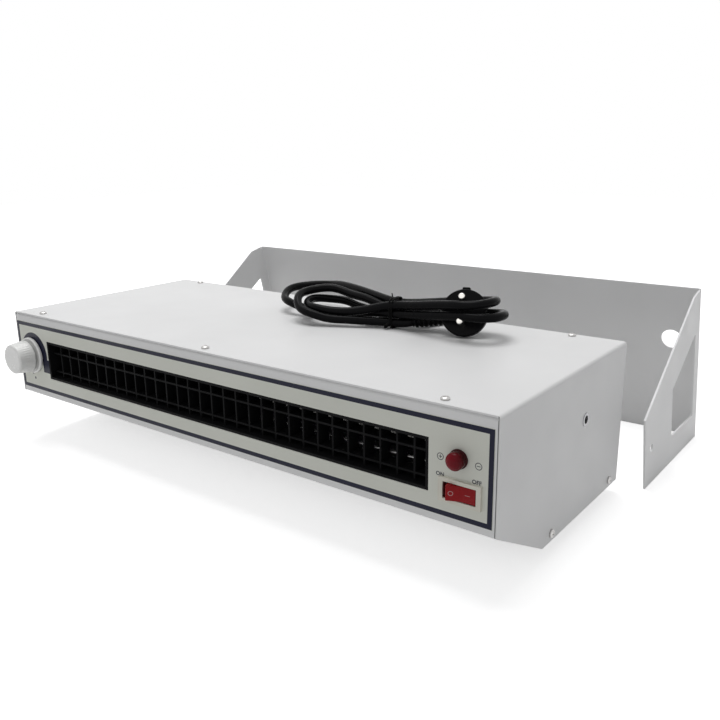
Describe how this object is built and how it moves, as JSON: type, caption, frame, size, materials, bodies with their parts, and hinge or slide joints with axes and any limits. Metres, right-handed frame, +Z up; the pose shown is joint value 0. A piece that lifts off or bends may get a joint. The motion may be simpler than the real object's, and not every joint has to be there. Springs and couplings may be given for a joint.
{
  "type": "ionizing air blower",
  "caption": "Bench ionizing air blower in a wide sheet-metal case with a grilled outlet, speed knob, lamp, rocker switch, tied mains lead and a separate swivel bracket.",
  "frame": {"origin": "on the bench, under the middle of the object without its mains lead", "axes": "+X along the case to the right seen from the front, +Y from the outlet towards the back, +Z up"},
  "size_m": [0.52, 0.384, 0.1595],
  "materials": {
    "white_paint": "satin",
    "label_film": "satin",
    "black_grille": "satin",
    "zinc_sheet": "satin",
    "fan_plastic": "matte",
    "bright_steel": "polished",
    "screw_steel": "polished",
    "bearing_rubber": "matte",
    "bronze": "satin",
    "laminations": "satin",
    "winding": "matte",
    "cast_bridge": "satin",
    "insulator": "satin",
    "mica": "satin",
    "heater_wire": "satin",
    "potting": "matte",
    "board_green": "satin",
    "nylon": "satin",
    "control_black": "satin",
    "knob_white": "satin",
    "lens_red": "gloss",
    "bezel_ivory": "satin",
    "terminal_brass": "satin",
    "rocker_red": "gloss",
    "foot_rubber": "matte",
    "insert_steel": "satin",
    "cord_black": "satin",
    "tie_black": "satin",
    "pin_nickel": "polished",
    "bracket_paint": "satin"
  },
  "bodies": {
    "housing": {"top_cover": "white_paint", "chassis": "white_paint", "rear_panel": "white_paint", "front_label": "label_film", "outlet_grille": "black_grille", "fan_end_plates": "zinc_sheet", "fan_scroll": "zinc_sheet", "fan_tongue": "zinc_sheet", "bearing_housing": "bearing_rubber", "bearing_bush": "bronze", "motor_stack": "laminations", "motor_coil": "winding", "motor_bridges": "cast_bridge", "motor_screws": "bright_steel", "emitter_bar": "insulator", "emitter_needles": "bright_steel", "ground_rods": "bright_steel", "heater_boards": "mica", "heater_coils": "heater_wire", "high_voltage_module": "potting", "circuit_board": "board_green", "board_parts": "potting", "board_standoffs": "nylon", "terminal_block": "nylon", "speed_control": "control_black", "control_nut": "bright_steel", "lamp_body": "control_black", "lamp_nut": "bright_steel", "lamp_lens": "lens_red", "rocker_housing": "bezel_ivory", "switch_terminals": "terminal_brass", "feet": "foot_rubber", "foot_screws": "bright_steel", "foot_nuts": "bright_steel", "cover_screws": "screw_steel", "side_screws": "screw_steel", "side_inserts": "insert_steel", "strain_relief": "cord_black", "cord_nut": "control_black", "mains_cord": "cord_black", "cord_hank": "cord_black", "cord_tie": "tie_black", "plug_lead": "cord_black", "plug_body": "cord_black", "plug_pins": "pin_nickel"},
    "fan_rotor": {"impeller": "fan_plastic", "stub_shaft": "bright_steel", "motor_rotor": "bright_steel"},
    "knob": {"speed_knob": "knob_white", "control_shaft": "bright_steel"},
    "rocker": {"rocker": "rocker_red"},
    "bracket": {"mounting_bracket": "bracket_paint"}
  },
  "joints": [
    {"name": "fan_spin", "type": "hinge", "parent": "housing", "child": "fan_rotor", "pos_m": [-0.008, -0.06502, 0.067], "axis": [1, 0, 0], "continuous": true},
    {"name": "knob_turn", "type": "hinge", "parent": "housing", "child": "knob", "pos_m": [-0.2355, -0.17602, 0.0835], "axis": [0, 1, 0], "range_deg": [0, 270]},
    {"name": "rocker_tilt", "type": "hinge", "parent": "housing", "child": "rocker", "pos_m": [0.2175, -0.16653, 0.0692], "axis": [0, 0, 1], "range_deg": [-24, 0]},
    {"name": "bracket_slide", "type": "slide", "parent": "housing", "child": "bracket", "axis": [0, 1, 0], "range_m": [0, 0.1]}
  ]
}
